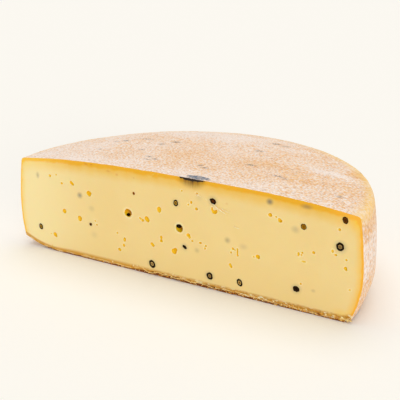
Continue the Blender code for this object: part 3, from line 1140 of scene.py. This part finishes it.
def rind_material():
    material, tree, shader = new_material("cheese_rind")
    place, across, back, up = object_place(tree)
    upright = tree.nodes.new("ShaderNodeVectorMath")
    upright.operation = "MULTIPLY"
    tree.links.new(place, upright.inputs[0])
    upright.inputs[1].default_value = (0.7, 1.0, 0.5)
    pebbles = mottle(tree, place, 5.0, 0.34, 0.66)
    grain = mottle(tree, upright.outputs["Vector"], 1.15, 0.38, 0.62, detail=8.0)
    cover = bloom_cover(tree, place, across, back, up, grain, pebbles)
    colour = mixed(tree, mottle(tree, place, 3.2), ORANGE, ORANGE_DEEP)
    colour = mixed(tree, rising(tree, cover, 0.08, 0.90), colour, BLOOM)

    specks = mottle(tree, upright.outputs["Vector"], 1.0, 0.51, 0.65, detail=6.0)
    colour = mixed(tree, calculate(tree, "MULTIPLY", specks, 0.44), colour, DULL)

    corner = stored(tree, "from_corner")
    rubbed = calculate(tree, "MULTIPLY", rising(tree, corner, 9 * MM, 1.5 * MM), 0.8)
    rubbed = calculate(tree, "MULTIPLY", rubbed, calculate(tree, "MULTIPLY_ADD", grain, -0.5, 1.0))
    to_right = calculate(tree, "MULTIPLY_ADD", rising(tree, across, 0.03, 0.10), 0.65, 0.35)
    rubbed = calculate(tree, "MULTIPLY", rubbed, to_right)
    colour = mixed(tree, rubbed, colour, CORNER)

    flecks = []
    for across, back, width, deep, strength in FLECKS:
        wide, long = width * FLECK_GROWTH, deep * FLECK_GROWTH
        flecks.append(crown_spot(tree, place, across, back, wide, long, strength))
    flecks = strongest(tree, flecks)
    flecks = calculate(tree, "MULTIPLY", flecks, rising(tree, stored(tree, "facing_up"), 0.6, 0.85))
    torn = calculate(tree, "MULTIPLY_ADD", mottle(tree, place, 1.5, 0.42, 0.56), 0.80, 0.20)
    colour = mixed(tree, calculate(tree, "MULTIPLY", flecks, torn), colour, FLECK)
    patch = crown_spot(tree, place, 19.5, -11.5, 30.0, 11.0, 1.0, core=0.2)
    ragged = calculate(tree, "ADD", patch, mottle(tree, place, 2.4, 0.30, 0.70))
    ragged = rising(tree, calculate(tree, "MULTIPLY", ragged, patch), 0.30, 0.95)
    solid = calculate(tree, "MULTIPLY_ADD", torn, 0.4, 0.6)
    colour = mixed(tree, calculate(tree, "MULTIPLY", ragged, solid), colour, PATCH)
    # The lowest 1.6 mm of rind turns browner: partly the base rind's own colour, partly painted shade
    # where it meets the board.
    colour = mixed(tree, rising(tree, up, 1.6 * MM, 0.3 * MM), colour, UNDERSIDE_AND_SHADE)

    tree.links.new(colour, shader.inputs["Base Color"])
    shader.inputs["Roughness"].default_value = 0.82
    shader.inputs["Specular IOR Level"].default_value = 0.2
    fine = calculate(tree, "MULTIPLY", grain, 0.18 * MM)
    height = calculate(tree, "MULTIPLY_ADD", pebbles, 0.20 * MM, fine)
    bump = tree.nodes.new("ShaderNodeBump")
    bump.inputs["Distance"].default_value = 1.0
    tree.links.new(height, bump.inputs["Height"])
    tree.links.new(bump.outputs["Normal"], shader.inputs["Normal"])
    return material


# %% Finish the body
body.data.materials.append(paste_material())
body.data.materials.append(rind_material())
body.data.shade_smooth()
body.data.set_sharp_from_angle(angle=math.radians(50))
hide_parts("cheese")
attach(body, "root")
print("body materials:", [material.name for material in body.data.materials])


# %% [markdown]
# ## Peppercorns
# A black peppercorn is a dried berry: a dark wrinkled skin, a thin paler layer, and a hard core
# that runs from olive and golden brown to grey. The knife shears some flat with the paste and
# leaves the core a little hollow. Each one here is a dented ball, bisected at the cut; its flat
# disc is inset twice, once for the skin and once for the layer below, and the core is pushed
# in. Two more lie whole in their sockets. All are one piece, and each face's own colour is kept
# in an attribute, so that one finish serves every peppercorn.

# %% Where the peppercorns are
SKIN = seen(32, 19, 4)
# Light outer layer, dark core, and the share of the width that the skin takes on each side
CORE_LOOKS = {
    "olive": (seen(206, 160, 62), seen(150, 108, 28), 0.20),
    "gold": (seen(236, 196, 116), seen(140, 98, 36), 0.23),
    "grey": (seen(222, 188, 120), seen(168, 134, 74), 0.26),
    "slate": (seen(176, 146, 90), seen(146, 116, 66), 0.25),
    "tan": (seen(176, 120, 10), seen(158, 106, 10), 0.10),
    "amber": (seen(214, 130, 24), seen(120, 62, 8), 0.06),
    "brown": (seen(120, 66, 8), seen(88, 48, 8), 0.12),
    "burnt": (seen(44, 22, 6), seen(104, 54, 14), 0.16),
    "black": (seen(50, 30, 10), seen(20, 12, 6), 0.22),
}
LAYER_SHARE = 0.17
CORE_SINK = 0.45 * MM
PROUD = 0.10 * MM


def wrinkle(verts, middle, depth):
    """Draw the skin into folds, as drying does."""
    for vert in verts:
        out = (vert.co - middle).normalized()
        fold = abs(noise.noise(vert.co / (1.1 * MM))) + 0.5 * abs(noise.noise(vert.co / (0.5 * MM)))
        vert.co -= out * depth * fold


def paint(faces, layer, colour):
    for face in faces:
        for loop in face.loops:
            loop[layer] = colour


def add_cut_peppercorn(mesh, across, up, width, height, lean, look):
    own = bmesh.new()
    own_layer = own.loops.layers.float_color.new("own_colour")
    middle = on_cut(across, up)
    size = Vector((width, (width + height) / 2, height)) * MM
    verts = add_ball(own, middle, size, lean, fineness=4, dent=0.1)
    wrinkle(verts, middle, 0.35 * MM)
    paint(own.faces, own_layer, SKIN)
    made = bmesh.ops.bisect_plane(
        own,
        geom=own.verts[:] + own.edges[:] + own.faces[:],
        dist=WELD,
        plane_co=middle - Vector((0.0, PROUD, 0.0)),
        plane_no=(0.0, -1.0, 0.0),
        clear_outer=True,
    )
    rim = [item for item in made["geom_cut"] if isinstance(item, bmesh.types.BMEdge)]
    disc = bmesh.ops.edgeloop_fill(own, edges=rim)["faces"]
    bmesh.ops.recalc_face_normals(own, faces=own.faces)
    light, dark, skin_share = CORE_LOOKS[look]
    disc = step_in(own, disc, middle, 1 - 2 * skin_share)
    paint(disc, own_layer, light)
    disc = step_in(own, disc, middle, 1 - 2 * LAYER_SHARE)
    fan = bmesh.ops.poke(own, faces=disc)
    paint(fan["faces"], own_layer, dark)
    for vert in fan["verts"]:
        vert.co.y += CORE_SINK
    give_to(mesh, own)


def step_in(mesh, disc, middle, share):
    """Ring a flat disc with a band of faces, by extruding it in place and drawing it in."""
    made = bmesh.ops.extrude_face_region(mesh, geom=disc)["geom"]
    bmesh.ops.delete(mesh, geom=disc, context="FACES_ONLY")
    verts = [item for item in made if isinstance(item, bmesh.types.BMVert)]
    to_middle = Matrix.Translation(-middle)
    bmesh.ops.scale(mesh, vec=(share, 1.0, share), space=to_middle, verts=verts)
    return [item for item in made if isinstance(item, bmesh.types.BMFace)]


def give_to(mesh, own):
    """Add a finished bmesh to a larger one."""
    part = bpy.data.meshes.new("part")
    own.to_mesh(part)
    own.free()
    mesh.from_mesh(part)
    bpy.data.meshes.remove(part)


def add_whole_peppercorn(mesh, across, up, size, behind):
    own = bmesh.new()
    layer = own.loops.layers.float_color.new("own_colour")
    middle = on_cut(across, up, -behind)
    verts = add_ball(own, middle, Vector((size, size, size)) * MM, fineness=4, dent=0.1)
    wrinkle(verts, middle, 0.5 * MM)
    paint(own.faces, layer, SKIN)
    give_to(mesh, own)


peppercorns = bmesh.new()
peppercorns.loops.layers.float_color.new("own_colour")
for row in CUT_PEPPERCORNS:
    add_cut_peppercorn(peppercorns, *row)
for row in WHOLE_PEPPERCORNS:
    add_whole_peppercorn(peppercorns, *row)
peppercorn_piece = new_object("peppercorns", peppercorns)
print("peppercorn faces:", len(peppercorn_piece.data.polygons))


# %% The peppercorns' finish
def peppercorn_material():
    material, tree, shader = new_material("peppercorn")
    place = object_place(tree)[0]
    own = tree.nodes.new("ShaderNodeAttribute")
    own.attribute_name = "own_colour"
    cells = mottle(tree, place, 0.55, 0.35, 0.65)
    darker = mixed(tree, 0.35, own.outputs["Color"], SKIN)
    colour = mixed(tree, cells, darker, own.outputs["Color"])
    tree.links.new(colour, shader.inputs["Base Color"])
    shader.inputs["Roughness"].default_value = 0.7
    shader.inputs["Specular IOR Level"].default_value = 0.05
    bump = tree.nodes.new("ShaderNodeBump")
    bump.inputs["Distance"].default_value = 1.0
    join(tree, calculate(tree, "MULTIPLY", cells, 0.12 * MM), bump.inputs["Height"])
    tree.links.new(bump.outputs["Normal"], shader.inputs["Normal"])
    return material


peppercorn_piece.data.materials.append(peppercorn_material())
peppercorn_piece.data.shade_smooth()
peppercorn_piece.data.set_sharp_from_angle(angle=math.radians(40))
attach(peppercorn_piece, "root")


# %% [markdown]
# ## Crumbs
# The knife pushed crumbs of the dry base rind out along the foot of the cut, mostly on the
# right. They are small dented balls of a few dozen faces, joined into one piece, with their
# sizes and places drawn from a seeded random generator so that they fall the same each time.

# %% Scatter the crumbs
CRUMB_COUNT = 300
CRUMB_SIZES = (0.35, 1.05)
CRUMB_SPREAD = 1.3
CRUMB_CLEAR = 0.5
CRUMB_TURNS, CRUMB_RINGS = 7, 5
CRUMB_DENT = 0.5
# Millimetres: (across, up, size) of the larger pale flakes
FLAKES = (
    (119.0, 2.8, 2.2),
    (122.3, 1.6, 1.6),
    (109.0, 2.2, 1.4),
    (96.5, 2.6, 1.5),
    (2.7, 4.8, 1.6),
    (-29.5, 3.6, 1.8),
    (-26.5, 4.3, 1.4),
    (-47.0, 2.6, 1.3),
    (40.0, 2.4, 1.4),
    (62.0, 2.0, 1.3),
    (75.0, 2.6, 1.4),
)
# Millimetres: (first across, first up, last across, last up, sag in the middle, thickness)
TORN_LIPS = (
    (-73.0, 2.4, -66.0, 2.2, 0.2, 0.7),
    (-60.0, 2.0, -51.0, 2.0, 0.3, 0.6),
    (-44.5, 1.9, -38.5, 1.5, 0.2, 0.9),
    (-36.5, 1.5, -31.0, 1.4, 0.2, 0.8),
    (-29.0, 2.2, -24.0, 3.6, 0.3, 1.2),
    (-24.5, 4.2, -20.5, 3.2, 0.5, 1.3),
    (-21.5, 3.0, -18.0, 1.5, 0.1, 0.9),
    (-19.0, 1.5, -13.0, 1.5, -0.2, 1.0),
    (-14.0, 1.6, -9.0, 3.0, -0.3, 0.9),
    (-9.8, 3.0, -5.5, 1.7, 0.3, 0.9),
    (-6.5, 1.8, -0.5, 2.7, 0.2, 1.0),
    (-1.5, 2.8, 3.0, 1.6, 0.3, 1.0),
    (2.0, 1.7, 10.8, 2.4, -0.2, 1.0),
    (10.0, 2.4, 16.0, 1.6, 0.3, 1.0),
    (15.0, 1.7, 21.5, 2.4, -0.1, 1.1),
    (20.0, 2.5, 28.5, 2.3, 0.4, 1.1),
    (27.5, 2.2, 33.0, 1.4, 0.1, 0.9),
    (32.0, 1.5, 38.0, 1.9, 0.2, 0.9),
    (40.0, 2.2, 46.0, 2.2, 0.3, 1.0),
    (48.0, 2.6, 53.5, 2.4, 0.3, 0.9),
    (58.5, 2.3, 65.5, 1.9, 0.3, 1.0),
    (68.0, 2.1, 73.0, 1.8, 0.2, 0.8),
    (86.0, 1.9, 91.5, 1.5, 0.2, 0.9),
    (99.0, 1.6, 104.0, 1.2, 0.2, 0.9),
    (117.0, 2.0, 121.5, 2.4, 0.3, 1.5),
    (121.5, 2.2, 125.2, 2.0, 0.2, 1.3),
)
RIDGE_RAGGED = 0.25
LIP_OUT = 0.2
CRUMB_COLOURS = (
    seen(240, 176, 62),
    seen(222, 146, 34),
    seen(255, 238, 178),
    seen(252, 208, 112),
)
LIP_COLOUR = seen(255, 222, 142)


def heel_lift(across):
    """How far the foot of the cut is off the board at this place along it, in millimetres."""
    flat, rim, lift = (part / MM for part in LEFT_HEEL)
    return lift * (max(-across - flat, 0.0) / (rim - flat)) ** 2


def add_crumb(mesh, across, up, size, colour):
    own = bmesh.new()
    layer = own.loops.layers.float_color.new("own_colour")
    made = bmesh.ops.create_uvsphere(
        own, u_segments=CRUMB_TURNS, v_segments=CRUMB_RINGS, radius=0.5
    )
    place = on_cut(across, up + heel_lift(across), 0.1)
    for vert in made["verts"]:
        vert.co *= 1 + CRUMB_DENT * noise.noise(vert.co * 3 + place / MM)
    shape = Vector((size, size * draw.uniform(0.35, 0.6), size * draw.uniform(0.5, 0.9))) * MM
    bmesh.ops.scale(own, vec=shape, verts=made["verts"])
    turned = Matrix.Rotation(draw.uniform(0, math.pi), 3, "Y")
    bmesh.ops.rotate(own, cent=(0, 0, 0), matrix=turned, verts=made["verts"])
    bmesh.ops.translate(own, vec=place, verts=made["verts"])
    paint(own.faces, layer, colour)
    give_to(mesh, own)


def add_ridge(mesh, first_across, first_up, last_across, last_up, sag, thick, out=0.0):
    start, end = on_cut(first_across, first_up, out), on_cut(last_across, last_up, out)
    run = end - start
    made = bmesh.ops.create_uvsphere(mesh, u_segments=8, v_segments=24, radius=0.5)
    flat = Vector((thick * MM, thick * MM * 0.6, run.length))
    bmesh.ops.scale(mesh, vec=flat, verts=made["verts"])
    for vert in made["verts"]:
        share = vert.co.z / run.length
        vert.co.x += sag * MM * (1 - 4 * share**2)
    turned = run.to_track_quat("Z", "Y").to_matrix()
    bmesh.ops.rotate(mesh, cent=(0, 0, 0), matrix=turned, verts=made["verts"])
    bmesh.ops.translate(mesh, vec=(start + end) / 2, verts=made["verts"])
    for vert in made["verts"]:
        vert.co += noise.noise_vector(vert.co / (1.3 * MM)) * thick * RIDGE_RAGGED * MM


draw = random.Random(11)
crumbs = bmesh.new()
crumbs.loops.layers.float_color.new("own_colour")
left_end, right_end = wheel_low.x / MM + 14, wheel_high.x / MM - 6
laid = 0
while laid < CRUMB_COUNT:
    across = draw.uniform(left_end, right_end)
    if draw.random() > crumbly(across * MM):
        continue
    up = abs(draw.gauss(0.0, CRUMB_SPREAD)) + CRUMB_CLEAR
    add_crumb(crumbs, across, up, draw.uniform(*CRUMB_SIZES), draw.choice(CRUMB_COLOURS))
    laid += 1
for across, up, size in FLAKES:
    add_crumb(crumbs, across, up, size, CRUMB_COLOURS[2])
for row in TORN_LIPS:
    lip = bmesh.new()
    lip_layer = lip.loops.layers.float_color.new("own_colour")
    add_ridge(lip, *row, out=LIP_OUT)
    paint(lip.faces, lip_layer, LIP_COLOUR)
    give_to(crumbs, lip)
crumb_piece = new_object("crumbs", crumbs)
print("crumb faces:", len(crumb_piece.data.polygons))


# %% The crumbs' finish
def crumb_material():
    material, tree, shader = new_material("crumb")
    place = object_place(tree)[0]
    own = tree.nodes.new("ShaderNodeAttribute")
    own.attribute_name = "own_colour"
    shade = mottle(tree, place, 0.4, 0.3, 0.7)
    colour = mixed(tree, shade, mixed(tree, 0.3, own.outputs["Color"], BASE_GOLD), own.outputs["Color"])
    tree.links.new(colour, shader.inputs["Base Color"])
    shader.inputs["Roughness"].default_value = 0.8
    return material


crumb_piece.data.materials.append(crumb_material())
crumb_piece.data.shade_smooth()
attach(crumb_piece, "root")


# %% [markdown]
# ## Knife marks
# At a few places the blade smeared the paste into thin whitish ridges. Each is a long thin
# ball, bent along its length to follow the stroke and half sunk in the face.

# %% Lay the knife marks
# Millimetres: (first across, first up, last across, last up, sag in the middle, thickness)
KNIFE_MARKS = (
    (19.0, 64.6, 30.5, 60.4, 0.35, 0.85),
    (31.5, 59.8, 41.5, 54.2, -0.7, 0.8),
    (37.0, 58.0, 44.0, 55.6, -0.4, 0.5),
    (45.8, 47.7, 50.6, 46.6, -0.3, 0.8),
    (32.8, 57.6, 35.2, 58.0, 0.1, 0.4),
)
SMEAR = seen(254, 234, 184)
SMEAR_PALE = seen(255, 248, 222)


marks = bmesh.new()
for row in KNIFE_MARKS:
    add_ridge(marks, *row)
mark_piece = new_object("knife_marks", marks)
mark_material, mark_tree, mark_shader = new_material("smeared_paste")
mark_place = object_place(mark_tree)[0]
mark_colour = mixed(mark_tree, mottle(mark_tree, mark_place, 1.5), SMEAR, SMEAR_PALE)
mark_tree.links.new(mark_colour, mark_shader.inputs["Base Color"])
mark_shader.inputs["Roughness"].default_value = 0.4
mark_piece.data.materials.append(mark_material)
mark_piece.data.shade_smooth()
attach(mark_piece, "root")
print("knife marks:", len(KNIFE_MARKS))


# %% [markdown]
# ## Floor, light and camera
# The cheese lies on a plain pale ground under soft light from all round, with one broad source
# above and to the left that gives the gentle shade on the right.

# %% Stage
FLOOR_SIDE = 12.0
floor_mesh = bmesh.new()
bmesh.ops.create_grid(floor_mesh, x_segments=1, y_segments=1, size=FLOOR_SIDE / 2)
floor = new_object("floor", floor_mesh)
floor_material, floor_tree, floor_shader = new_material("pale_ground")
floor_shader.inputs["Base Color"].default_value = seen(253, 253, 253)
floor_shader.inputs["Roughness"].default_value = 0.9
floor_shader.inputs["Specular IOR Level"].default_value = 0.0
floor.data.materials.append(floor_material)

world = bpy.data.worlds.new("soft_room")
world.use_nodes = True
room = world.node_tree.nodes["Background"]
room.inputs["Color"].default_value = seen(251, 246, 238)
room.inputs["Strength"].default_value = 0.61
scene.world = world


def add_sun(name, azimuth, elevation, strength, width):
    """A broad distant light; azimuth 0 is behind the viewer, positive to the viewer's right."""
    light = bpy.data.lights.new(name, "SUN")
    light.energy = strength
    light.color = seen(255, 254, 247)[:3]
    light.angle = math.radians(width)
    lamp = bpy.data.objects.new(name, light)
    lamp.rotation_euler = (math.radians(90 - elevation), 0.0, math.radians(azimuth))
    scene.collection.objects.link(lamp)


add_sun("broad_top_light", 205, 79, 1.13, 54)
add_sun("low_front_fill", 48, 8, 0.97, 30)
scene.view_settings.view_transform = "Standard"

CAMERA_FROM_AXIS = Vector((211.2, -366.7, 204.1)) * MM
CAMERA_AZIMUTH = 28.19
CAMERA_DOWN = 19.766
CAMERA_ROLL = 0.16
CAMERA_LENS = 60.5
camera_data = bpy.data.cameras.new("camera")
camera_data.lens = CAMERA_LENS
camera_data.sensor_width = 36.0
camera = bpy.data.objects.new("camera", camera_data)
camera.location = AXIS + CAMERA_FROM_AXIS
aim = Matrix.Rotation(math.radians(CAMERA_AZIMUTH), 3, "Z")
aim @= Matrix.Rotation(math.radians(90 - CAMERA_DOWN), 3, "X")
aim @= Matrix.Rotation(math.radians(CAMERA_ROLL), 3, "Z")
camera.rotation_euler = aim.to_euler()
scene.collection.objects.link(camera)
scene.camera = camera
